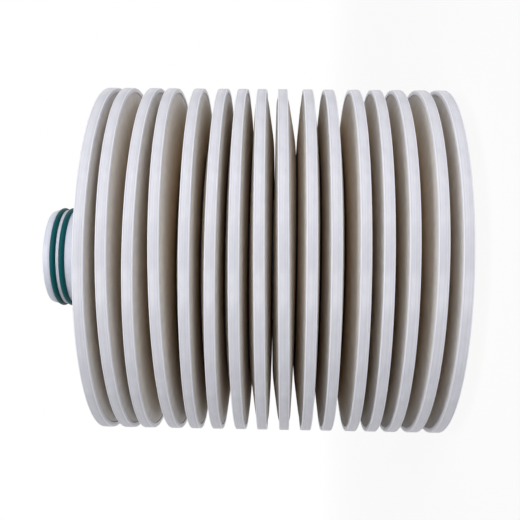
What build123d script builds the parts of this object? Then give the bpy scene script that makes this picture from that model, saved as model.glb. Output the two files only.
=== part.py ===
from build123d import *
import os

# Stacked disc depth filter module, standing on its closed end with the outlet neck up.
# Each cell is two filter sheets over a ribbed drainage separator, gripped at the edge by a moulded rim.
# The cells are threaded on a central channel, closed at the foot, and open through a neck with two O-rings.
# Millimetres, +Z along the channel towards the neck, origin under the middle of the closed end.

# The stack
CELL_COUNT = 16
CELL_PITCH = 17.7
CHANNEL_RADIUS = 33.0

# Moulded rim round each cell
RIM_RADIUS = 142.0
RIM_WIDTH = 7.8
RIM_WALL = 1.3
RIM_LIP_REACH = 2.3
RIM_LIP_THICKNESS = 0.7
RIM_CORNER = 0.8

# How each rim sits, from the neck down: shift along the stack, and lean at +X and at -Y.
# The hubs are stacked evenly, while the thin outer parts of the cells give way, so no two rims sit alike.
RIM_SHIFT = [0.0, 2.0, 1.0, 0.5, -0.5, -1.5, -1.5, 0.0, 0.5, -0.5, 0.5, -2.0, -1.5, 0.0, -0.5, 0.0]
LEAN_AT_X = [0.0, 2.0, -0.5, 3.0, 0.5, -0.5, 1.0, 2.0, 2.5, 1.0, 1.0, 0.5, 0.0, -0.5, -1.5, -0.5]
LEAN_AT_FRONT = [-0.5, -0.5, 0.0, 0.5, -1.5, -0.5, 1.0, 0.0, 0.5, 0.0, 0.0, 0.5, 2.0, 1.0, 0.0, 0.5]

# Filter sheets: thick at the hub, squeezed thin where the rim grips them
SHEET_THICKNESS = 4.0
SHEET_SHOULDER_THICKNESS = 3.6
KNEE_RADIUS = 97.0
SHOULDER_HALF_HEIGHT = 5.0
SHOULDER_SET_IN = 6.2
CRIMP_CLEARANCE = 0.2

# Drainage separator inside each cell
SEPARATOR_EDGE_THICKNESS = 0.8
SEPARATOR_WEB_THICKNESS = 1.2
SEPARATOR_HUB_WIDTH = 15.0
RIB_COUNT = 24
RIB_THICKNESS = 1.6
RIB_SET_IN = 1.0
DRAIN_SLOT_WIDTH = 3.2
DRAIN_SLOT_ROOF = 1.2

# Ring between two cells: a thin web between the sheets and a collar through their bores
SPACER_WEB_THICKNESS = 0.9
SPACER_WEB_REACH = 13.0
COLLAR_WALL = 5.0
BORE_CLEARANCE = 0.1

# Neck piece at the open end
FLANGE_RADIUS = 60.0
FLANGE_THICKNESS = 8.0
FLANGE_CORNER = 1.0
NECK_RADIUS = 39.9
NECK_HEIGHT = 37.8
NECK_ROOT_FILLET = 2.5
NOSE_LAND = 1.9
NOSE_LEAD_LENGTH = 4.1
NOSE_LEAD_DROP = 1.3
NOSE_CORNER = 0.8
GUSSET_COUNT = 12
GUSSET_THICKNESS = 2.4
GUSSET_HEIGHT = 9.0
GUSSET_REACH = 14.0

# O-rings and their grooves
CORD_DIAMETER = 4.6
CORD_STANDS_PROUD = 1.7
GROOVE_CLEARANCE = 0.1
GROOVE_RIB = 2.5

# Steel ring that keeps the neck round
SUPPORT_RING_WALL = 1.2
SUPPORT_RING_LENGTH = 24.0

# Closed end
CAP_THICKNESS = 8.0
CAP_FLOOR = 3.0
FOOT_WIDTH = 8.0
FOOT_RECESS = 1.5

# Steel tie bands in slots of the channel's wall, with their ends bent out into the two end pieces
BAND_COUNT = 3
BAND_WIDTH = 12.0
BAND_THICKNESS = 1.2
BAND_COVER = 1.2
BAND_CLEARANCE = 0.1
TAB_REACH = 5.0
TAB_CLEARANCE = 0.2

# Worked out from the sizes above
SHEET_EDGE_RADIUS = RIM_RADIUS - RIM_WALL
RIM_INNER_RADIUS = SHEET_EDGE_RADIUS - RIM_LIP_REACH
GRIP_HALF_HEIGHT = RIM_WIDTH / 2 - RIM_LIP_THICKNESS
CRIMP_RADIUS = RIM_INNER_RADIUS - CRIMP_CLEARANCE
SHOULDER_RADIUS = CRIMP_RADIUS - SHOULDER_SET_IN
HUB_HALF_HEIGHT = (CELL_PITCH - SPACER_WEB_THICKNESS) / 2
CAVITY_HALF_HEIGHT = HUB_HALF_HEIGHT - SHEET_THICKNESS
CAVITY_SHOULDER = SHOULDER_HALF_HEIGHT - SHEET_SHOULDER_THICKNESS
SEPARATOR_HUB_RADIUS = CHANNEL_RADIUS + SEPARATOR_HUB_WIDTH
COLLAR_RADIUS = CHANNEL_RADIUS + COLLAR_WALL
SHEET_BORE_RADIUS = COLLAR_RADIUS + BORE_CLEARANCE
LAST_CELL_HEIGHT = CAP_THICKNESS + HUB_HALF_HEIGHT
FIRST_CELL_HEIGHT = LAST_CELL_HEIGHT + (CELL_COUNT - 1) * CELL_PITCH
FLANGE_HEIGHT = FIRST_CELL_HEIGHT + HUB_HALF_HEIGHT
FLANGE_TOP = FLANGE_HEIGHT + FLANGE_THICKNESS
NOSE_HEIGHT = FLANGE_TOP + NECK_HEIGHT
GROOVE_WIDTH = CORD_DIAMETER + 2 * GROOVE_CLEARANCE
GROOVE_BOTTOM_RADIUS = NECK_RADIUS + CORD_STANDS_PROUD - CORD_DIAMETER
FIRST_GROOVE_TOP = NOSE_HEIGHT - NOSE_LEAD_LENGTH - NOSE_LAND
GROOVE_TOPS = [FIRST_GROOVE_TOP, FIRST_GROOVE_TOP - GROOVE_WIDTH - GROOVE_RIB]
BAND_SLOT_INNER = CHANNEL_RADIUS + BAND_COVER
BAND_INNER_FACE = BAND_SLOT_INNER + BAND_CLEARANCE
BAND_OUTER_FACE = BAND_INNER_FACE + BAND_THICKNESS
BAND_SLOT_OUTER = BAND_OUTER_FACE + BAND_CLEARANCE
TAB_END_RADIUS = BAND_OUTER_FACE + TAB_REACH
CAP_TAB_HEIGHT = CAP_FLOOR
NECK_TAB_HEIGHT = FLANGE_HEIGHT + (FLANGE_THICKNESS - BAND_THICKNESS) / 2


def level(height):
    """A level plane at a height on the channel's axis."""
    return Plane.XY.offset(height)


def hub_frame(cell):
    """Middle plane of a cell's hub. Cell 0 is next to the neck."""
    return level(FIRST_CELL_HEIGHT - cell * CELL_PITCH)


def rim_frame(cell):
    """Middle plane of a cell's rim, shifted along the stack and leaning a little."""
    height = FIRST_CELL_HEIGHT - cell * CELL_PITCH + RIM_SHIFT[cell % len(RIM_SHIFT)]
    rise_x = LEAN_AT_X[cell % len(LEAN_AT_X)] / RIM_RADIUS
    rise_y = -LEAN_AT_FRONT[cell % len(LEAN_AT_FRONT)] / RIM_RADIUS
    return Plane(origin=(0, 0, height), x_dir=(1, 0, rise_x), z_dir=(-rise_x, -rise_y, 1))


def ring(inner, outer, low, high):
    """A plain ring between two radii and two heights."""
    wall = Pos(0, 0, low) * extrude(Circle(outer), high - low)
    return wall - Pos(0, 0, low) * extrude(Circle(inner), high - low)


def turned(points, rounded=()):
    """Turn a closed outline of (radius, height) points about Z; rounded lists (point, radius) corners."""
    outline = Plane.XZ * make_face(Polyline(*points, close=True))
    for (radius, height), size in rounded:
        corner = outline.vertices().sort_by_distance((radius, 0, height))[0]
        outline = fillet(corner, size)
    return revolve(outline, Axis.Z)


def skin(sections, closed=True):
    """Faces through circles about one axis, each (radius, frame, height above the frame)."""
    faces = []
    nexts = sections[1:] + sections[:1] if closed else sections[1:]
    for here, there in zip(sections, nexts):
        ends = [Edge.make_circle(radius, frame.offset(height)) for radius, frame, height in (here, there)]
        same_frame = here[1] is there[1]
        if same_frame and here[2] == there[2]:
            inner, outer = ends if here[0] < there[0] else reversed(ends)
            faces.append(Face(Wire([outer]), [Wire([inner])]))
        elif same_frame and here[0] == there[0]:
            faces.append(Face.extrude(ends[0], here[1].z_dir * (there[2] - here[2])))
        else:
            faces.append(Face.make_surface_from_curves(*ends))
    return faces


def cell_sheets(cell):
    """The two filter sheets of a cell: level at the hub, following the rim at the edge."""
    hub, rim = hub_frame(cell), rim_frame(cell)
    sheets = []
    for side in (1, -1):
        sheets.append(Solid(Shell(skin([
            (SHEET_BORE_RADIUS, hub, side * CAVITY_HALF_HEIGHT),
            (KNEE_RADIUS, hub, side * CAVITY_HALF_HEIGHT),
            (SHOULDER_RADIUS, rim, side * CAVITY_SHOULDER),
            (CRIMP_RADIUS, rim, side * SEPARATOR_EDGE_THICKNESS / 2),
            (SHEET_EDGE_RADIUS, rim, side * SEPARATOR_EDGE_THICKNESS / 2),
            (SHEET_EDGE_RADIUS, rim, side * GRIP_HALF_HEIGHT),
            (CRIMP_RADIUS, rim, side * GRIP_HALF_HEIGHT),
            (SHOULDER_RADIUS, rim, side * SHOULDER_HALF_HEIGHT),
            (KNEE_RADIUS, hub, side * HUB_HALF_HEIGHT),
            (SHEET_BORE_RADIUS, hub, side * HUB_HALF_HEIGHT),
        ]))))
    return Compound(children=sheets)


def separator_middle():
    """Level part of every separator: slotted hub ring, web, and radial ribs out to the knee."""
    web = SEPARATOR_WEB_THICKNESS / 2
    slot_height = CAVITY_HALF_HEIGHT - DRAIN_SLOT_ROOF - web
    slot_reach = SEPARATOR_HUB_RADIUS + RIB_SET_IN
    rib_length = KNEE_RADIUS - RIB_SET_IN - SEPARATOR_HUB_RADIUS
    middle = ring(CHANNEL_RADIUS, SEPARATOR_HUB_RADIUS, -CAVITY_HALF_HEIGHT, CAVITY_HALF_HEIGHT)
    slot_places = PolarLocations(0, RIB_COUNT, start_angle=180 / RIB_COUNT)
    for side in (1, -1):
        slot_middle = Pos(slot_reach / 2, 0, side * (web + slot_height / 2))
        slot = slot_middle * Box(slot_reach, DRAIN_SLOT_WIDTH, slot_height)
        middle -= [place * slot for place in slot_places]
    middle += ring(CHANNEL_RADIUS, KNEE_RADIUS, -web, web)
    rib_places = PolarLocations(SEPARATOR_HUB_RADIUS + rib_length / 2, RIB_COUNT)
    rib = Box(rib_length + RIB_THICKNESS, RIB_THICKNESS, 2 * CAVITY_HALF_HEIGHT)
    middle += [place * rib for place in rib_places]
    return middle - band_cuts(BAND_SLOT_OUTER, -CAVITY_HALF_HEIGHT, CAVITY_HALF_HEIGHT)


def cell_separator(cell, middle):
    """Drainage separator of a cell: the level part, with its web carried on out into the rim."""
    hub, rim = hub_frame(cell), rim_frame(cell)
    web, edge = SEPARATOR_WEB_THICKNESS / 2, SEPARATOR_EDGE_THICKNESS / 2
    skirt = skin([
        (KNEE_RADIUS, hub, -web),
        (CRIMP_RADIUS, rim, -edge),
        (SHEET_EDGE_RADIUS, rim, -edge),
        (SHEET_EDGE_RADIUS, rim, edge),
        (CRIMP_RADIUS, rim, edge),
        (KNEE_RADIUS, hub, web),
    ], closed=False)
    level_part = hub * middle
    outer_wall = level_part.faces().filter_by(GeomType.CYLINDER).sort_by(lambda face: face.radius)[-1]
    kept = [face for face in level_part.faces() if not face.is_same(outer_wall)]
    return Solid(Shell(kept + skirt))


def rim_section():
    """One moulded rim: a flat crown with rounded corners, and two short lips over the sheets."""
    half = RIM_WIDTH / 2
    points = [
        (RIM_INNER_RADIUS, -half),
        (RIM_RADIUS, -half),
        (RIM_RADIUS, half),
        (RIM_INNER_RADIUS, half),
        (RIM_INNER_RADIUS, GRIP_HALF_HEIGHT),
        (SHEET_EDGE_RADIUS, GRIP_HALF_HEIGHT),
        (SHEET_EDGE_RADIUS, -GRIP_HALF_HEIGHT),
        (RIM_INNER_RADIUS, -GRIP_HALF_HEIGHT),
    ]
    return turned(points, [((RIM_RADIUS, -half), RIM_CORNER), ((RIM_RADIUS, half), RIM_CORNER)])


def cell_spacers():
    """The rings between the cells: a collar on the channel with a thin web between two hubs."""
    collar = CELL_PITCH / 2 - CAVITY_HALF_HEIGHT
    web = SPACER_WEB_THICKNESS / 2
    web_radius = COLLAR_RADIUS + SPACER_WEB_REACH
    spacer = turned([
        (CHANNEL_RADIUS, -collar),
        (COLLAR_RADIUS, -collar),
        (COLLAR_RADIUS, -web),
        (web_radius, -web),
        (web_radius, web),
        (COLLAR_RADIUS, web),
        (COLLAR_RADIUS, collar),
        (CHANNEL_RADIUS, collar),
    ])
    spacer -= band_cuts(BAND_SLOT_OUTER, -collar, collar)
    lowest = LAST_CELL_HEIGHT + CELL_PITCH / 2
    heights = [lowest + gap * CELL_PITCH for gap in range(CELL_COUNT - 1)]
    return Compound(children=[(level(height) * spacer).solid() for height in heights])


def band_cuts(outer_face, low, high):
    """Cutters round the channel between the slots' inner face and another face, between two heights."""
    depth = outer_face - BAND_SLOT_INNER
    middle = Pos(BAND_SLOT_INNER + depth / 2, 0, (low + high) / 2)
    cutter = middle * Box(depth, BAND_WIDTH + 2 * TAB_CLEARANCE, high - low)
    return [place * cutter for place in PolarLocations(0, BAND_COUNT)]


def tie_band(number):
    """One flat steel band in its slots, bent out at both ends."""
    low, high = CAP_TAB_HEIGHT, NECK_TAB_HEIGHT + BAND_THICKNESS
    points = [
        (BAND_INNER_FACE, low),
        (TAB_END_RADIUS, low),
        (TAB_END_RADIUS, low + BAND_THICKNESS),
        (BAND_OUTER_FACE, low + BAND_THICKNESS),
        (BAND_OUTER_FACE, high - BAND_THICKNESS),
        (TAB_END_RADIUS, high - BAND_THICKNESS),
        (TAB_END_RADIUS, high),
        (BAND_INNER_FACE, high),
    ]
    outline = Plane.XZ * make_face(Polyline(*points, close=True))
    for end in (low, high):
        corner = outline.vertices().sort_by_distance((BAND_INNER_FACE, 0, end))[0]
        outline = fillet(corner, BAND_THICKNESS)
    band = extrude(outline, BAND_WIDTH / 2, both=True)
    return Rot(0, 0, number * 360 / BAND_COUNT) * band


def neck_adapter():
    """Open end piece: collar, flange with gussets, and the neck with its two O-ring grooves."""
    collar_height = FIRST_CELL_HEIGHT + CAVITY_HALF_HEIGHT
    recess_radius = CHANNEL_RADIUS + SUPPORT_RING_WALL
    recess_height = NOSE_HEIGHT - SUPPORT_RING_LENGTH
    root = (NECK_RADIUS, FLANGE_TOP)
    nose = (NECK_RADIUS - NOSE_LEAD_DROP, NOSE_HEIGHT)
    flange_edges = [(FLANGE_RADIUS, FLANGE_HEIGHT), (FLANGE_RADIUS, FLANGE_TOP)]
    points = [
        (CHANNEL_RADIUS, collar_height),
        (COLLAR_RADIUS, collar_height),
        (COLLAR_RADIUS, FLANGE_HEIGHT),
        flange_edges[0],
        flange_edges[1],
        root,
    ]
    for top in reversed(GROOVE_TOPS):
        points.append((NECK_RADIUS, top - GROOVE_WIDTH))
        points.append((GROOVE_BOTTOM_RADIUS, top - GROOVE_WIDTH))
        points.append((GROOVE_BOTTOM_RADIUS, top))
        points.append((NECK_RADIUS, top))
    points.append((NECK_RADIUS, NOSE_HEIGHT - NOSE_LEAD_LENGTH))
    points.append(nose)
    points.append((recess_radius, NOSE_HEIGHT))
    points.append((recess_radius, recess_height))
    points.append((CHANNEL_RADIUS, recess_height))
    rounded = [(edge, FLANGE_CORNER) for edge in flange_edges]
    rounded += [(root, NECK_ROOT_FILLET), (nose, NOSE_CORNER)]
    body = turned(points, rounded)
    gusset = Plane.XZ * make_face(Polyline(
        (COLLAR_RADIUS, FLANGE_TOP - FLANGE_CORNER),
        (NECK_RADIUS + GUSSET_REACH, FLANGE_TOP - FLANGE_CORNER),
        (NECK_RADIUS + GUSSET_REACH, FLANGE_TOP),
        (NECK_RADIUS, FLANGE_TOP + GUSSET_HEIGHT),
        (COLLAR_RADIUS, FLANGE_TOP + GUSSET_HEIGHT),
        close=True,
    ))
    gusset = extrude(gusset, GUSSET_THICKNESS / 2, both=True)
    body += [place * gusset for place in PolarLocations(0, GUSSET_COUNT)]
    pocket_top = NECK_TAB_HEIGHT + BAND_THICKNESS + TAB_CLEARANCE
    body -= band_cuts(BAND_SLOT_OUTER, collar_height, pocket_top)
    return body - band_cuts(TAB_END_RADIUS + TAB_CLEARANCE, NECK_TAB_HEIGHT, pocket_top)


def support_ring():
    """Thin steel ring let into the bore of the neck, flush with the channel."""
    return ring(
        CHANNEL_RADIUS,
        CHANNEL_RADIUS + SUPPORT_RING_WALL,
        NOSE_HEIGHT - SUPPORT_RING_LENGTH,
        NOSE_HEIGHT,
    )


def o_ring(groove_top):
    """One O-ring seated on the bottom of its groove."""
    cord_radius = CORD_DIAMETER / 2
    return Pos(0, 0, groove_top - GROOVE_WIDTH / 2) * Torus(GROOVE_BOTTOM_RADIUS + cord_radius, cord_radius)


def end_cap():
    """Closed end piece: a plug in the last sheet's bore, a closed floor and a shallow ring foot."""
    collar_height = LAST_CELL_HEIGHT - CAVITY_HALF_HEIGHT
    foot_inner = FLANGE_RADIUS - FOOT_WIDTH
    foot = (FLANGE_RADIUS, 0)
    shoulder = (FLANGE_RADIUS, CAP_THICKNESS)
    body = turned([
        (0, FOOT_RECESS),
        (foot_inner, FOOT_RECESS),
        (foot_inner, 0),
        foot,
        shoulder,
        (COLLAR_RADIUS, CAP_THICKNESS),
        (COLLAR_RADIUS, collar_height),
        (CHANNEL_RADIUS, collar_height),
        (CHANNEL_RADIUS, CAP_FLOOR),
        (0, CAP_FLOOR),
    ], [(foot, FLANGE_CORNER), (shoulder, FLANGE_CORNER)])
    pocket_floor = CAP_TAB_HEIGHT - TAB_CLEARANCE
    body -= band_cuts(BAND_SLOT_OUTER, pocket_floor, collar_height)
    return body - band_cuts(TAB_END_RADIUS + TAB_CLEARANCE, pocket_floor, CAP_TAB_HEIGHT + BAND_THICKNESS)


def build():
    """Every sub-part by name."""
    parts = {}
    rim = rim_section()
    middle = separator_middle()
    for cell in range(CELL_COUNT):
        name = f"cell_{cell + 1:02d}"
        parts[f"{name}_rim"] = rim_frame(cell) * rim
        parts[f"{name}_media"] = cell_sheets(cell)
        parts[f"{name}_separator"] = cell_separator(cell, middle)
    parts["cell_spacers"] = cell_spacers()
    for number in range(BAND_COUNT):
        parts[f"tie_band_{number + 1}"] = tie_band(number)
    parts["neck_adapter"] = neck_adapter()
    parts["neck_support_ring"] = support_ring()
    parts["nose_o_ring"] = o_ring(GROOVE_TOPS[0])
    parts["flange_o_ring"] = o_ring(GROOVE_TOPS[1])
    parts["end_cap"] = end_cap()
    return parts


os.makedirs("parts", exist_ok=True)
for name, shape in build().items():
    export_step(shape, f"parts/{name}.step")
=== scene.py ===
from math import pi, radians

import bmesh
import bpy
import numpy as np
from mathutils import Matrix, Vector


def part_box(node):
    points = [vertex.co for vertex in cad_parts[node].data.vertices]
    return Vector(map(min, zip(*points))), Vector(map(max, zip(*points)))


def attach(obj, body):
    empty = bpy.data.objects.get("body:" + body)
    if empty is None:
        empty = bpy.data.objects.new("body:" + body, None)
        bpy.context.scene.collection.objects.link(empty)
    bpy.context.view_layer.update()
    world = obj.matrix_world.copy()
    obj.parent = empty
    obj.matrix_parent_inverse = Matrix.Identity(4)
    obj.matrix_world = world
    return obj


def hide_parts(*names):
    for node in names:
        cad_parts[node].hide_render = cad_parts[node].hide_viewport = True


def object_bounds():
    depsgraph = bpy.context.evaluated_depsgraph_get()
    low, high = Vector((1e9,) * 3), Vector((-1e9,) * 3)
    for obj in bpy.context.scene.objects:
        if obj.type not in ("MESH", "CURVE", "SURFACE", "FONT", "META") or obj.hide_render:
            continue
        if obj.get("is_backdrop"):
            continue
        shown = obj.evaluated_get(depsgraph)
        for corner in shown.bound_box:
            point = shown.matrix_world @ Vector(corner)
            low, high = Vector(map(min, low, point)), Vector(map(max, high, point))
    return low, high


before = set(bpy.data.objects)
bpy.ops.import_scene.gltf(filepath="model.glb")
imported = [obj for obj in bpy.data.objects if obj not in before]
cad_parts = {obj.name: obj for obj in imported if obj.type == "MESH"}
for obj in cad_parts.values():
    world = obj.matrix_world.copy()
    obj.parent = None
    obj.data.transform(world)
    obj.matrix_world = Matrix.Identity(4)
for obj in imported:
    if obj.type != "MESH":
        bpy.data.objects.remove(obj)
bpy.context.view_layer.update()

# Stacked disc depth filter module: sixteen cells of beige filter board with white moulded rims,
# closed at the foot, with an open neck that carries two teal O-rings. Metres, neck up.

MM = 0.001
CELLS = [f"cell_{number:02d}" for number in range(1, 17)]

# Section of a cell, as radius and height from the middle of the cell
RIM_RADIUS = 142.0 * MM
RIM_HALF_WIDTH = 3.9 * MM
RIM_CORNER = 0.8 * MM
LIP_CORNER = 0.25 * MM
LIP_RADIUS = 138.4 * MM
SHEET_EDGE_RADIUS = 140.7 * MM
GRIP_HALF = 3.2 * MM
WITNESS_HEIGHT = 2.7 * MM
WITNESS_HALF_WIDTH = 0.18 * MM
WITNESS_DEPTH = 0.07 * MM
# Width and strength of the painted shade, a faint darker line along the witness line
WITNESS_SHADE_HALF_WIDTH = 0.25 * MM
WITNESS_SHADE_SHARE = 0.6
# Softness of the painted highlight along the corners of the rim's crown
HIGHLIGHT_SOFTNESS = 0.1 * MM
CRIMP_RADIUS = 138.2 * MM
SHOULDER_RADIUS = 132.0 * MM
SHOULDER_HALF = 5.0 * MM
SHOULDER_SOFTNESS = 3.0 * MM
KNEE_RADIUS = 97.0 * MM
KNEE_SOFTNESS = 12.0 * MM
HUB_HALF = 8.4 * MM
CAVITY_HALF = 4.4 * MM
CAVITY_SHOULDER = 1.4 * MM
CAVITY_EDGE = 0.4 * MM
SHEET_BORE_RADIUS = 38.1 * MM

# Neck, O-rings and closed end, as radius and height
CHANNEL_RADIUS = 33.0 * MM
COLLAR_RADIUS = 38.0 * MM
COLLAR_LENGTH = 4.0 * MM
FLANGE_RADIUS = 60.0 * MM
FLANGE_CORNER = 1.0 * MM
FLANGE_THICKNESS = 8.0 * MM
NECK_RADIUS = 39.9 * MM
NECK_ROOT_SOFTNESS = 2.5 * MM
GROOVE_RADIUS = 37.0 * MM
GROOVE_HALF = 2.4 * MM
GROOVE_CORNER = 0.25 * MM
NOSE_LEAD = 4.1 * MM
NOSE_DROP = 1.3 * MM
NOSE_CORNER = 0.8 * MM
RING_WALL = 1.2 * MM
RING_LENGTH = 24.0 * MM
RING_CORNER = 0.3 * MM
CORD_RADIUS = 2.3 * MM
GUSSET_COUNT = 12
GUSSET_HALF = 1.2 * MM
GUSSET_REACH = 14.0 * MM
GUSSET_HEIGHT = 9.0 * MM
GUSSET_TOE = 0.4 * MM
GUSSET_OVERLAP = 1.0 * MM
GUSSET_SOFTNESS = 0.35 * MM
CAP_FLOOR = 3.0 * MM
FOOT_WIDTH = 8.0 * MM
FOOT_RECESS = 1.5 * MM

# Steps round a turned surface and round a corner, and how meshes are smoothed and closed
TURN_STEPS = 288
CORNER_STEPS = 6
CORD_STEPS = 40
SHARP_ANGLE = radians(38)
MERGE_DISTANCE = 0.001 * MM

# Camera of the photograph, and how far it stands from the channel's axis
CAMERA_LENS = 54.77
CAMERA_DISTANCE = 674.9 * MM
CAMERA_RISE = -4.19 * MM
CAMERA_HEIGHT = 143.7 * MM
CAMERA_YAW, CAMERA_PITCH, CAMERA_ROLL = radians(1.44), radians(0.30), radians(0.80)
SENSOR_WIDTH = 36.0

# Light on the object: the sky's strength all round, what is added towards both ends of the stack and
# towards the side that is the upper one in the photograph, and over which share of a direction's
# length along Z or X each of those grows to all
SKY_STRENGTH = 0.05
SKY_AT_ENDS = 0.1
SKY_ABOVE = 0.1
ENDS_FROM, ENDS_TO = 0.35, 0.9
ABOVE_FROM, ABOVE_TO = -0.2, 0.8
LAMP_AIM = (0.0, 0.0, 160.0 * MM)
LAMP_SIZE = 1.3

# Floor: half its side, the share of plain white that the camera sees near the object, the distances
# over which that share grows to all, and the share of glow in the light that it sends to the object
FLOOR_SIZE = 4.0
FLOOR_SHOWN = 0.91
FLOOR_NEAR = 0.3
FLOOR_FAR = 2.2
FLOOR_GLOW = 0.4


def paint(code):
    """A colour written as sRGB hex, turned to linear light."""
    parts = [int(code[place:place + 2], 16) / 255 for place in (1, 3, 5)]
    return [c / 12.92 if c <= 0.04045 else ((c + 0.055) / 1.055) ** 2.4 for c in parts] + [1.0]


def add(material, kind, settings=None, links=None):
    """A node of a kind, with its properties and input values set and its inputs linked."""
    node = material.node_tree.nodes.new(kind)
    for key, value in (settings or {}).items():
        if isinstance(key, str) and hasattr(node, key):
            setattr(node, key, value)
        else:
            node.inputs[key].default_value = value
    for key, source in (links or {}).items():
        material.node_tree.links.new(node.inputs[key], source)
    return node


def new_material(name):
    """An empty material and its output node."""
    material = bpy.data.materials.new(name)
    material.use_nodes = True
    material.node_tree.nodes.clear()
    return material, add(material, "ShaderNodeOutputMaterial")


def finish_material(material, output, base, roughness, bump, settings):
    """Close a material on one Principled shader."""
    links = {"Base Color": base, "Normal": bump}
    if roughness is not None:
        links["Roughness"] = roughness
    shader = add(material, "ShaderNodeBsdfPrincipled", settings, links)
    material.node_tree.links.new(output.inputs["Surface"], shader.outputs["BSDF"])
    return material


def laid_vector(material, round_mm, across_mm):
    """Place on a turned surface, round the axis and along the profile, in units of a pattern's real size
    in those two directions."""
    lay = add(material, "ShaderNodeAttribute", {"attribute_name": "lay"})
    scale = (1 / (round_mm * MM), 1 / (round_mm * MM), 1 / (across_mm * MM))
    return add(material, "ShaderNodeMapping", {"Scale": scale}, {"Vector": lay.outputs["Vector"]})


def moulded_polypropylene(name, light, shade, streak_mm, roughness, painted_edges=False):
    """White moulded polypropylene: waxy satin, with fine flow streaks that follow the turn. On the rims
    both edges of the crown are painted lighter as a painted highlight, and a faint darker line along the
    mould's witness line is painted shade."""
    # Real flow streaks are about 0.2 mm wide, and are drawn 0.8 to 0.9 mm wide so that they show
    material, output = new_material(name)
    streak_place = laid_vector(material, 111.0, streak_mm)
    streaks = add(material, "ShaderNodeTexNoise", {"Scale": 1.0, "Detail": 3.0, "Roughness": 0.6},
                  {"Vector": streak_place.outputs["Vector"]})
    cloud_place = laid_vector(material, 16.7, 8.3)
    clouds = add(material, "ShaderNodeTexNoise", {"Scale": 1.0, "Detail": 2.0},
                 {"Vector": cloud_place.outputs["Vector"]})
    both = add(material, "ShaderNodeMath", {"operation": "ADD"},
               {0: streaks.outputs["Fac"], 1: clouds.outputs["Fac"]})
    spread = add(material, "ShaderNodeMapRange", {"From Min": 0.7, "From Max": 1.3},
                 {"Value": both.outputs["Value"]})
    tint = add(material, "ShaderNodeMix", {"data_type": "RGBA", 6: paint(shade), 7: paint(light)},
               {0: spread.outputs["Result"]})
    # Rims: painted highlight on the corners of the crown and painted shade along the witness line
    if painted_edges:
        tint = paint_edge_highlight_and_shade(material, tint)
    gloss = add(material, "ShaderNodeMapRange", {"To Min": roughness + 0.06, "To Max": roughness - 0.04},
                {"Value": streaks.outputs["Fac"]})
    bump = add(material, "ShaderNodeBump", {"Strength": 0.35, "Distance": 0.03 * MM},
               {"Height": streaks.outputs["Fac"]})
    return finish_material(material, output, tint.outputs[2], gloss.outputs["Result"],
                           bump.outputs["Normal"], {"IOR": 1.49})


def paint_edge_highlight_and_shade(material, tint):
    """Painted highlight on the corners of the crown, which are painted lighter, and painted shade as a faint
    darker line along the witness line. Both are placed by the height above or below the middle of the rim."""
    level = add(material, "ShaderNodeAttribute", {"attribute_name": "level"})
    reach = add(material, "ShaderNodeMath", {"operation": "ABSOLUTE"}, {0: level.outputs["Fac"]})
    corner = RIM_HALF_WIDTH - RIM_CORNER
    painted_highlight = add(material, "ShaderNodeMapRange",
               {"From Min": corner - HIGHLIGHT_SOFTNESS, "From Max": corner + HIGHLIGHT_SOFTNESS},
               {"Value": reach.outputs["Value"]})
    line = add(material, "ShaderNodeMath", {"operation": "COMPARE", 1: WITNESS_HEIGHT, 2: WITNESS_SHADE_HALF_WIDTH},
               {0: reach.outputs["Value"]})
    # Painted shade: a faint darker line along the witness line
    witness_shade = add(material, "ShaderNodeMath", {"operation": "MULTIPLY", 1: WITNESS_SHADE_SHARE},
               {0: line.outputs["Value"]})
    witness_shaded = add(material, "ShaderNodeMix", {"data_type": "RGBA", 7: paint("#CDCDD8")},
                {0: witness_shade.outputs["Value"], 6: tint.outputs[2]})
    # Painted highlight: the corners of the crown are painted lighter
    return add(material, "ShaderNodeMix", {"data_type": "RGBA", 7: paint("#EFEFF7")},
               {0: painted_highlight.outputs["Result"], 6: witness_shaded.outputs[2]})


def filter_board(name, stops):
    """Cellulose filter board: pressed wet from fibre and filler, so matt, beige and faintly mottled.
    Its colour runs through the stops, each (from radius, to radius, colour) in millimetres."""
    # Real fibres are about 0.03 mm wide, and are drawn as 0.6 mm clumps so that they show
    material, output = new_material(name)
    place = add(material, "ShaderNodeTexCoord").outputs["Object"]
    fibres = add(material, "ShaderNodeTexNoise", {"Scale": 1 / (0.6 * MM), "Detail": 4.0, "Roughness": 0.65},
                 {"Vector": place})
    clouds = add(material, "ShaderNodeTexNoise", {"Scale": 1 / (9 * MM), "Detail": 3.0}, {"Vector": place})
    both = add(material, "ShaderNodeMath", {"operation": "ADD"},
               {0: fibres.outputs["Fac"], 1: clouds.outputs["Fac"]})
    spread = add(material, "ShaderNodeMapRange", {"From Min": 0.7, "From Max": 1.3},
                 {"Value": both.outputs["Value"]})
    flat = add(material, "ShaderNodeMapping", {"Scale": (1.0, 1.0, 0.0)}, {"Vector": place})
    radius = add(material, "ShaderNodeVectorMath", {"operation": "LENGTH"}, {0: flat.outputs["Vector"]})
    board = None
    for near, far, code in stops:
        share = add(material, "ShaderNodeMapRange", {"From Min": near * MM, "From Max": far * MM},
                    {"Value": radius.outputs["Value"]})
        inner = {} if board is None else {6: board.outputs[2]}
        board = add(material, "ShaderNodeMix", {"data_type": "RGBA", 7: paint(code)},
                    {0: share.outputs["Result"], **inner})
    mottle = add(material, "ShaderNodeMapRange", {"To Min": 0.9, "To Max": 1.06},
                 {"Value": spread.outputs["Result"]})
    tint = add(material, "ShaderNodeMix", {"data_type": "RGBA", "blend_type": "MULTIPLY", 0: 1.0},
               {6: board.outputs[2], 7: mottle.outputs["Result"]})
    bump = add(material, "ShaderNodeBump", {"Strength": 0.6, "Distance": 0.12 * MM},
               {"Height": fibres.outputs["Fac"]})
    return finish_material(material, output, tint.outputs[2], None, bump.outputs["Normal"],
                           {"Roughness": 0.95, "IOR": 1.4, "Sheen Weight": 0.1, "Sheen Roughness": 0.6})


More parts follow.
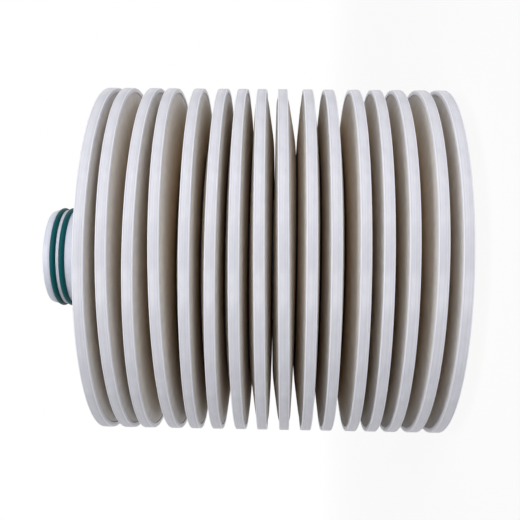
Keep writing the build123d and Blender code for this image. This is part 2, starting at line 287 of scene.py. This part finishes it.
def seal_rubber():
    """Teal seal rubber, moulded and lightly waxed: a soft broad gloss, with a faint bloom."""
    # Real bloom is finer than a tenth of a millimetre, and is drawn about 6 by 1.4 mm so that it shows
    material, output = new_material("teal_seal_rubber")
    place = laid_vector(material, 6.25, 1.43)
    bloom = add(material, "ShaderNodeTexNoise", {"Scale": 1.0, "Detail": 4.0},
                {"Vector": place.outputs["Vector"]})
    tint = add(material, "ShaderNodeMix", {"data_type": "RGBA", 6: paint("#034B50"), 7: paint("#065A60")},
               {0: bloom.outputs["Fac"]})
    gloss = add(material, "ShaderNodeMapRange", {"To Min": 0.36, "To Max": 0.5},
                {"Value": bloom.outputs["Fac"]})
    bump = add(material, "ShaderNodeBump", {"Strength": 0.25, "Distance": 0.03 * MM},
               {"Height": bloom.outputs["Fac"]})
    return finish_material(material, output, tint.outputs[2], gloss.outputs["Result"],
                           bump.outputs["Normal"], {"IOR": 1.52, "Specular IOR Level": 0.1})


def rolled_stainless():
    """Cold rolled stainless steel: a clean grey metal with fine grain along the channel."""
    # Real rolling grain is about 0.03 mm wide, and is drawn 0.33 mm wide so that it shows
    material, output = new_material("rolled_stainless_steel")
    place = add(material, "ShaderNodeTexCoord").outputs["Object"]
    scale = (1 / (0.333 * MM), 1 / (0.333 * MM), 1 / (16.7 * MM))
    stretched = add(material, "ShaderNodeMapping", {"Scale": scale}, {"Vector": place})
    grain = add(material, "ShaderNodeTexNoise", {"Scale": 1.0, "Detail": 3.0},
                {"Vector": stretched.outputs["Vector"]})
    tint = add(material, "ShaderNodeMix", {"data_type": "RGBA", 6: paint("#A9ABAE"), 7: paint("#C2C3C5")},
               {0: grain.outputs["Fac"]})
    gloss = add(material, "ShaderNodeMapRange", {"To Min": 0.24, "To Max": 0.38},
                {"Value": grain.outputs["Fac"]})
    bump = add(material, "ShaderNodeBump", {"Strength": 0.15, "Distance": 0.02 * MM},
               {"Height": grain.outputs["Fac"]})
    return finish_material(material, output, tint.outputs[2], gloss.outputs["Result"],
                           bump.outputs["Normal"], {"Metallic": 1.0})


def drainage_plastic():
    """Natural polypropylene of the hidden drainage parts: milky white with a fine moulded skin."""
    # A real moulded skin is finer than a tenth of a millimetre, and is drawn at 2 mm so that it shows
    material, output = new_material("natural_polypropylene")
    place = add(material, "ShaderNodeTexCoord").outputs["Object"]
    skin = add(material, "ShaderNodeTexNoise", {"Scale": 1 / (2 * MM), "Detail": 3.0}, {"Vector": place})
    tint = add(material, "ShaderNodeMix", {"data_type": "RGBA", 6: paint("#D2D3D6"), 7: paint("#E0E1E3")},
               {0: skin.outputs["Fac"]})
    gloss = add(material, "ShaderNodeMapRange", {"To Min": 0.42, "To Max": 0.52},
                {"Value": skin.outputs["Fac"]})
    bump = add(material, "ShaderNodeBump", {"Strength": 0.2, "Distance": 0.03 * MM},
               {"Height": skin.outputs["Fac"]})
    return finish_material(material, output, tint.outputs[2], gloss.outputs["Result"],
                           bump.outputs["Normal"], {"IOR": 1.49})


def rounded(corners):
    """Outline through (radius, height, softness) corners. Each soft corner c becomes the curve
    p = (1-t)^2 a + 2t(1-t) c + t^2 b between the points a and b that lie its softness from it."""
    points = np.array([corner[:2] for corner in corners])
    steps = np.linspace(0, 1, CORNER_STEPS)[:, None]
    outline = []
    for number, (_, _, softness) in enumerate(corners):
        corner = points[number]
        if softness == 0:
            outline.append(corner[None])
            continue
        before, after = points[number - 1] - corner, points[(number + 1) % len(points)] - corner
        start = corner + before * softness / np.linalg.norm(before)
        end = corner + after * softness / np.linalg.norm(after)
        outline.append((1 - steps) ** 2 * start + 2 * steps * (1 - steps) * corner + steps ** 2 * end)
    return np.concatenate(outline)


def make_object(name, points, faces, lay, level, material):
    """A smooth mesh object with the lay and the level of its surface stored on it and on
    the body."""
    mesh = bpy.data.meshes.new(name)
    mesh.from_pydata(points, [], faces)
    mesh.attributes.new("lay", "FLOAT_VECTOR", "POINT").data.foreach_set("vector", lay.ravel())
    mesh.attributes.new("level", "FLOAT", "POINT").data.foreach_set("value", level.ravel())
    mesh.shade_smooth()
    mesh.set_sharp_from_angle(angle=SHARP_ANGLE)
    mesh.materials.append(material)
    piece = bpy.data.objects.new(name, mesh)
    bpy.context.scene.collection.objects.link(piece)
    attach(piece, "root")
    return piece


def grid_faces(around, along, closed):
    """Quads of a grid that closes round the turn, and along the profile if that is closed."""
    turn, step = np.meshgrid(np.arange(around), np.arange(along if closed else along - 1), indexing="ij")
    next_turn, next_step = (turn + 1) % around, (step + 1) % along
    quads = [turn * along + step, next_turn * along + step,
             next_turn * along + next_step, turn * along + next_step]
    return np.stack(quads, axis=-1).reshape(-1, 4)


def turned(name, outline, base, material):
    """An outline turned about Z: x = r cos t, y = r sin t, z = height + base(r, t). The outline closes on
    itself, or starts and ends on the axis, where its points are merged to one at each end."""
    angle = np.linspace(0, 2 * pi, TURN_STEPS, endpoint=False)[:, None]
    radius, height = outline[None, :, 0], outline[None, :, 1]
    steps = np.linalg.norm(np.diff(outline, axis=0), axis=1)
    along = np.concatenate([[0], np.cumsum(steps)])[None, :]
    points = np.stack(np.broadcast_arrays(
        radius * np.cos(angle), radius * np.sin(angle), height + base(radius, angle)), axis=-1)
    lay = np.stack(np.broadcast_arrays(
        RIM_RADIUS * np.cos(angle), RIM_RADIUS * np.sin(angle), along), axis=-1)
    level = np.tile(outline[:, 1], TURN_STEPS)
    meets_axis = outline[0, 0] == 0
    faces = grid_faces(TURN_STEPS, len(outline), not meets_axis).tolist()
    piece = make_object(name, points.reshape(-1, 3), faces, lay.reshape(-1, 3), level, material)
    if meets_axis:
        work = bmesh.new()
        work.from_mesh(piece.data)
        bmesh.ops.remove_doubles(work, verts=work.verts, dist=MERGE_DISTANCE)
        work.to_mesh(piece.data)
        work.free()
    return piece


def level_at(height):
    """Base of a part that is turned true on the channel's axis."""
    return lambda radius, angle: np.full(np.broadcast_shapes(radius.shape, angle.shape), height)


def rim_plane(cell):
    """The plane z = c + a x + b y that a cell's rim lies in, as (c, a, b), fitted to the rim's CAD node."""
    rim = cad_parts[f"{cell}_rim"].data
    points = np.zeros(len(rim.vertices) * 3, np.float32)
    rim.vertices.foreach_get("co", points)
    x, y, z = points.reshape(-1, 3).T.astype(float)
    return np.linalg.lstsq(np.stack([np.ones_like(x), x, y], axis=1), z, rcond=None)[0]


def follow_rim(hub_height, plane):
    """Base of a cell: the hub's height inside the knee, the rim's plane outside the shoulder, and
    between them hub + share (rim - hub), where the share grows evenly from 0 to 1."""
    centre, slope_x, slope_y = plane

    def base(radius, angle):
        share = np.clip((radius - KNEE_RADIUS) / (SHOULDER_RADIUS - KNEE_RADIUS), 0, 1)
        reach = np.maximum(radius, SHOULDER_RADIUS)
        rim = centre + reach * (slope_x * np.cos(angle) + slope_y * np.sin(angle))
        return hub_height + share * (rim - hub_height)

    return base


def rim_outline():
    """Section of a moulded rim: flat crown with soft corners, a faint witness line near each edge of
    the crown, and two lips."""
    crown, half, line = RIM_RADIUS, RIM_HALF_WIDTH, WITNESS_HEIGHT
    witness = [
        (crown, line - WITNESS_HALF_WIDTH, 0), (crown - WITNESS_DEPTH, line, 0),
        (crown, line + WITNESS_HALF_WIDTH, 0),
    ]
    mirrored = [(radius, -height, soft) for radius, height, soft in reversed(witness)]
    return rounded([
        (SHEET_EDGE_RADIUS, -GRIP_HALF, 0), (LIP_RADIUS, -GRIP_HALF, 0), (LIP_RADIUS, -half, LIP_CORNER),
        (crown, -half, RIM_CORNER), *mirrored, *witness, (crown, half, RIM_CORNER),
        (LIP_RADIUS, half, LIP_CORNER), (LIP_RADIUS, GRIP_HALF, 0), (SHEET_EDGE_RADIUS, GRIP_HALF, 0),
    ])


def sheet_outline(side):
    """Section of one filter sheet, squeezed thin at the rim, with a soft knee and shoulder."""
    corners = [
        (SHEET_BORE_RADIUS, CAVITY_HALF, 0), (KNEE_RADIUS, CAVITY_HALF, 0),
        (SHOULDER_RADIUS, CAVITY_SHOULDER, 0), (CRIMP_RADIUS, CAVITY_EDGE, 0),
        (SHEET_EDGE_RADIUS, CAVITY_EDGE, 0), (SHEET_EDGE_RADIUS, GRIP_HALF, 0), (CRIMP_RADIUS, GRIP_HALF, 0),
        (SHOULDER_RADIUS, SHOULDER_HALF, SHOULDER_SOFTNESS), (KNEE_RADIUS, HUB_HALF, KNEE_SOFTNESS),
        (SHEET_BORE_RADIUS, HUB_HALF, 0),
    ]
    if side < 0:
        corners = [(radius, -height, soft) for radius, height, soft in reversed(corners)]
    return rounded(corners)


def neck_outline(flange_height, nose_height, groove_heights):
    """Section of the neck piece: collar, flange, neck with two grooves, and a nose with its lead-in."""
    top = flange_height + FLANGE_THICKNESS
    foot = flange_height - COLLAR_LENGTH
    corners = [
        (CHANNEL_RADIUS, foot, 0), (COLLAR_RADIUS, foot, 0),
        (COLLAR_RADIUS, flange_height, 0), (FLANGE_RADIUS, flange_height, FLANGE_CORNER),
        (FLANGE_RADIUS, top, FLANGE_CORNER), (NECK_RADIUS, top, NECK_ROOT_SOFTNESS),
    ]
    for middle in sorted(groove_heights):
        low, high = middle - GROOVE_HALF, middle + GROOVE_HALF
        corners += [(NECK_RADIUS, low, GROOVE_CORNER), (GROOVE_RADIUS, low, 0),
                    (GROOVE_RADIUS, high, 0), (NECK_RADIUS, high, GROOVE_CORNER)]
    recess = CHANNEL_RADIUS + RING_WALL
    corners += [
        (NECK_RADIUS, nose_height - NOSE_LEAD, NOSE_CORNER),
        (NECK_RADIUS - NOSE_DROP, nose_height, NOSE_CORNER),
        (recess, nose_height, 0), (recess, nose_height - RING_LENGTH, 0),
        (CHANNEL_RADIUS, nose_height - RING_LENGTH, 0),
    ]
    return rounded(corners)


def cap_outline(cap_height):
    """Section of the closed end: ring foot, flat floor and the collar in the last sheet's bore."""
    collar = cap_height + COLLAR_LENGTH
    foot = FLANGE_RADIUS - FOOT_WIDTH
    return rounded([
        (0.0, FOOT_RECESS, 0), (foot, FOOT_RECESS, 0), (foot, 0.0, 0), (FLANGE_RADIUS, 0.0, FLANGE_CORNER),
        (FLANGE_RADIUS, cap_height, FLANGE_CORNER), (COLLAR_RADIUS, cap_height, 0),
        (COLLAR_RADIUS, collar, 0), (CHANNEL_RADIUS, collar, 0), (CHANNEL_RADIUS, CAP_FLOOR, 0),
        (0.0, CAP_FLOOR, 0),
    ])


def inset_outline(nose_height):
    """Section of the steel ring that lines the nose of the neck."""
    outer, low = CHANNEL_RADIUS + RING_WALL, nose_height - RING_LENGTH
    return rounded([
        (CHANNEL_RADIUS, low, 0), (outer, low, 0), (outer, nose_height, 0),
        (CHANNEL_RADIUS, nose_height, RING_CORNER),
    ])


def cord_outline(radius):
    """Round section of an O-ring: r = R + a cos s, z = a sin s, with the cord's own radius a."""
    turn = np.linspace(-pi, pi, CORD_STEPS, endpoint=False)
    return np.stack([radius + CORD_RADIUS * np.cos(turn), CORD_RADIUS * np.sin(turn)], axis=1)


def make_cell(cell, hub_height, plastic, upper_board, lower_board):
    """Rim and two filter sheets of one cell."""
    base = follow_rim(hub_height, rim_plane(cell))
    rim = turned(f"{cell}_moulded_rim", rim_outline(), base, plastic)
    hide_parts(f"{cell}_rim")
    for side, word, board in ((1, "upper", upper_board), (-1, "lower", lower_board)):
        sheet = turned(f"{cell}_{word}_sheet", sheet_outline(side), base, board)
        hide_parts(f"{cell}_media")


def make_gussets(root_height, material):
    """Small webs between the neck and its flange: one wedge of points (r, y, z), turned by each angle t
    to x = r cos t - y sin t, y = r sin t + y cos t."""
    inner, outer = NECK_RADIUS - GUSSET_OVERLAP, NECK_RADIUS + GUSSET_REACH
    low, rise = root_height - GUSSET_OVERLAP, root_height + GUSSET_HEIGHT
    section = np.array([(inner, low), (outer, low), (outer, root_height + GUSSET_TOE), (inner, rise)])
    sides = np.array([-GUSSET_HALF, GUSSET_HALF])
    wedge = np.stack(np.broadcast_arrays(
        section[None, :, 0], sides[:, None], section[None, :, 1]), axis=-1).reshape(-1, 3)
    turn = np.linspace(0, 2 * pi, GUSSET_COUNT, endpoint=False)[:, None]
    x = wedge[:, 0] * np.cos(turn) - wedge[:, 1] * np.sin(turn)
    y = wedge[:, 0] * np.sin(turn) + wedge[:, 1] * np.cos(turn)
    points = np.stack(np.broadcast_arrays(x, y, wedge[None, :, 2]), axis=-1).reshape(-1, 3)
    wedge_faces = np.array([
        (0, 1, 2, 3), (7, 6, 5, 4), (0, 4, 5, 1), (1, 5, 6, 2), (2, 6, 7, 3), (3, 7, 4, 0)])
    faces = (wedge_faces[None] + 8 * np.arange(GUSSET_COUNT)[:, None, None]).reshape(-1, 4)
    heights = points[:, 2]
    piece = make_object("neck_gussets", points, faces.tolist(), points, heights, material)
    soften = piece.modifiers.new("soft_edges", "BEVEL")
    soften.width, soften.segments = GUSSET_SOFTNESS, 2
    return piece


def background_seen(material):
    """1 for rays that see the background itself, directly or in gloss or glass, and 0 for the rays that
    light the object."""
    path = add(material, "ShaderNodeLightPath")
    seen = add(material, "ShaderNodeMath", {"operation": "MAXIMUM"},
               {0: path.outputs["Is Camera Ray"], 1: path.outputs["Is Glossy Ray"]})
    return add(material, "ShaderNodeMath", {"operation": "MAXIMUM"},
               {0: seen.outputs["Value"], 1: path.outputs["Is Transmission Ray"]})


def make_stage():
    """A plain pale floor that keeps a soft shadow near the object and turns white further out."""
    material, output = new_material("pale_floor")
    place = add(material, "ShaderNodeTexCoord").outputs["Object"]
    distance = add(material, "ShaderNodeVectorMath", {"operation": "LENGTH"}, {0: place})
    glow = add(material, "ShaderNodeMapRange",
               {"interpolation_type": "SMOOTHSTEP", "From Min": FLOOR_NEAR, "From Max": FLOOR_FAR,
                "To Min": FLOOR_SHOWN, "To Max": 1.0},
               {"Value": distance.outputs["Value"]})
    share = add(material, "ShaderNodeMapRange", {"To Min": FLOOR_GLOW},
                {"Value": background_seen(material).outputs["Value"], "To Max": glow.outputs["Result"]})
    lit = add(material, "ShaderNodeBsdfDiffuse", {"Color": paint("#F2F2F2")})
    white = add(material, "ShaderNodeEmission", {"Color": paint("#FFFFFF"), "Strength": 1.0})
    mixed = add(material, "ShaderNodeMixShader", {},
                {0: share.outputs["Result"], 1: lit.outputs["BSDF"], 2: white.outputs["Emission"]})
    material.node_tree.links.new(output.inputs["Surface"], mixed.outputs["Shader"])
    corners = [(-1, -1, 0), (1, -1, 0), (1, 1, 0), (-1, 1, 0)]
    mesh = bpy.data.meshes.new("floor")
    mesh.from_pydata((FLOOR_SIZE * np.array(corners)).tolist(), [], [(0, 1, 2, 3)])
    mesh.materials.append(material)
    floor = bpy.data.objects.new("floor", mesh)
    bpy.context.scene.collection.objects.link(floor)
    floor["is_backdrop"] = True


def make_world():
    """White to the camera and in reflections. As light on the object it is dim, and brighter towards
    both ends of the stack and towards the side that is the upper one in the photograph."""
    world = bpy.data.worlds.new("studio")
    bpy.context.scene.world = world
    world.use_nodes = True
    world.node_tree.nodes.clear()
    direction = add(world, "ShaderNodeTexCoord").outputs["Generated"]
    reach = add(world, "ShaderNodeSeparateXYZ", {}, {"Vector": direction})
    along = add(world, "ShaderNodeMath", {"operation": "ABSOLUTE"}, {0: reach.outputs["Z"]})
    ends = add(world, "ShaderNodeMapRange",
               {"From Min": ENDS_FROM, "From Max": ENDS_TO, "To Max": SKY_AT_ENDS},
               {"Value": along.outputs["Value"]})
    upper = add(world, "ShaderNodeMapRange",
                {"From Min": ABOVE_FROM, "From Max": ABOVE_TO, "To Max": SKY_ABOVE},
                {"Value": reach.outputs["X"]})
    light = add(world, "ShaderNodeMath", {"operation": "ADD"},
                {0: ends.outputs["Result"], 1: upper.outputs["Result"]})
    light = add(world, "ShaderNodeMath", {"operation": "ADD", 1: SKY_STRENGTH}, {0: light.outputs["Value"]})
    strength = add(world, "ShaderNodeMapRange", {"To Max": 1.0},
                   {"Value": background_seen(world).outputs["Value"], "To Min": light.outputs["Value"]})
    sky = add(world, "ShaderNodeBackground", {"Color": paint("#FFFFFF")},
              {"Strength": strength.outputs["Result"]})
    output = add(world, "ShaderNodeOutputWorld")
    world.node_tree.links.new(output.inputs["Surface"], sky.outputs["Background"])


def make_lamp(name, place, power):
    """A soft square lamp at a place, turned to the middle of the object."""
    lamp = bpy.data.lights.new(name, "AREA")
    lamp.shape, lamp.size, lamp.energy = "SQUARE", LAMP_SIZE, power
    holder = bpy.data.objects.new(name, lamp)
    holder.location = place
    holder.rotation_mode = "QUATERNION"
    holder.rotation_quaternion = (Vector(LAMP_AIM) - Vector(place)).to_track_quat("-Z", "Y")
    bpy.context.scene.collection.objects.link(holder)


def make_camera():
    """The photograph's camera: near the level of the stack's middle and rolled, so that the neck is at
    the left of the picture."""
    camera = bpy.data.cameras.new("photo_camera")
    camera.lens, camera.sensor_width = CAMERA_LENS, SENSOR_WIDTH
    camera.clip_start, camera.clip_end = 0.01, 20.0
    holder = bpy.data.objects.new("photo_camera", camera)
    lying = Matrix(((0, 1, 0), (0, 0, -1), (-1, 0, 0)))
    turn = Matrix.Rotation(CAMERA_YAW, 3, "Y") @ Matrix.Rotation(CAMERA_PITCH, 3, "X")
    turn = turn @ Matrix.Rotation(CAMERA_ROLL, 3, "Z")
    place = Matrix.Translation((CAMERA_RISE, -CAMERA_DISTANCE, CAMERA_HEIGHT))
    holder.matrix_world = place @ (lying @ turn).to_4x4()
    bpy.context.scene.collection.objects.link(holder)
    bpy.context.scene.camera = holder


# Finishes
# The rims carry a painted highlight on the corners of the crown and a painted shade line along the witness
# line
rim_white = moulded_polypropylene("moulded_white_polypropylene", "#E8E8F1", "#D6D6E0", 0.8, 0.42, True)
neck_white = moulded_polypropylene("neck_polypropylene", "#DDE1EE", "#D3D7E6", 0.9, 0.4)
open_board = filter_board("open_filter_board", ((0, 1, "#DCCDB6"), (60, 136, "#DEDAD6")))
# Board in the gaps between cells: its colour darkens and browns towards the hub, painted shade for the deep
# shade of the gaps
gap_board_painted_shade = filter_board("gap_filter_board_painted_shade", (
    (0, 1, "#5A3C1E"), (92, 100, "#D0B184"), (100, 117, "#DDCEBA"), (117, 136, "#E0DCD8")))
rubber = seal_rubber()
steel = rolled_stainless()
milky = drainage_plastic()

# Cells, from the neck down, with the even board on the two open faces of the stack and the board with
# painted shade towards the hub on the faces in the gaps
spacer_low, spacer_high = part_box("cell_spacers")
first_hub = spacer_high.z + CAVITY_HALF
last_hub = spacer_low.z - CAVITY_HALF
pitch = (first_hub - last_hub) / (len(CELLS) - 1)
for number, cell in enumerate(CELLS):
    upper_board = open_board if cell == CELLS[0] else gap_board_painted_shade
    lower_board = open_board if cell == CELLS[-1] else gap_board_painted_shade
    make_cell(cell, first_hub - number * pitch, rim_white, upper_board, lower_board)

# O-rings, neck and closed end
groove_heights = []
for node in ("nose_o_ring", "flange_o_ring"):
    low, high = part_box(node)
    middle = (low.z + high.z) / 2
    groove_heights.append(middle)
    section = cord_outline(GROOVE_RADIUS + CORD_RADIUS)
    ring = turned(f"{node}_cord", section, level_at(middle), rubber)
    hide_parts(node)
flange_height = first_hub + HUB_HALF
nose_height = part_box("neck_adapter")[1].z
section = neck_outline(flange_height, nose_height, groove_heights)
neck = turned("neck_body", section, level_at(0.0), neck_white)
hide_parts("neck_adapter")
gussets = make_gussets(flange_height + FLANGE_THICKNESS, neck_white)
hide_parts("neck_adapter")
section = cap_outline(last_hub - HUB_HALF)
cap = turned("closed_end", section, level_at(0.0), neck_white)
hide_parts("end_cap")
inset = turned("neck_inset_ring", inset_outline(nose_height), level_at(0.0), steel)
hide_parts("neck_support_ring")

# Finish of the CAD nodes
for name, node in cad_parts.items():
    finish = steel if name.startswith("tie_band") else milky
    node.data.materials.clear()
    node.data.materials.append(finish)

# Floor, light and camera
make_stage()
make_world()
make_lamp("upper_softbox", (1.9, -1.9, 0.16), 23.0)
make_lamp("front_softbox", (0.15, -1.5, 1.95), 33.5)
make_camera()
bpy.context.scene.view_settings.view_transform = "Standard"

low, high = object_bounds()
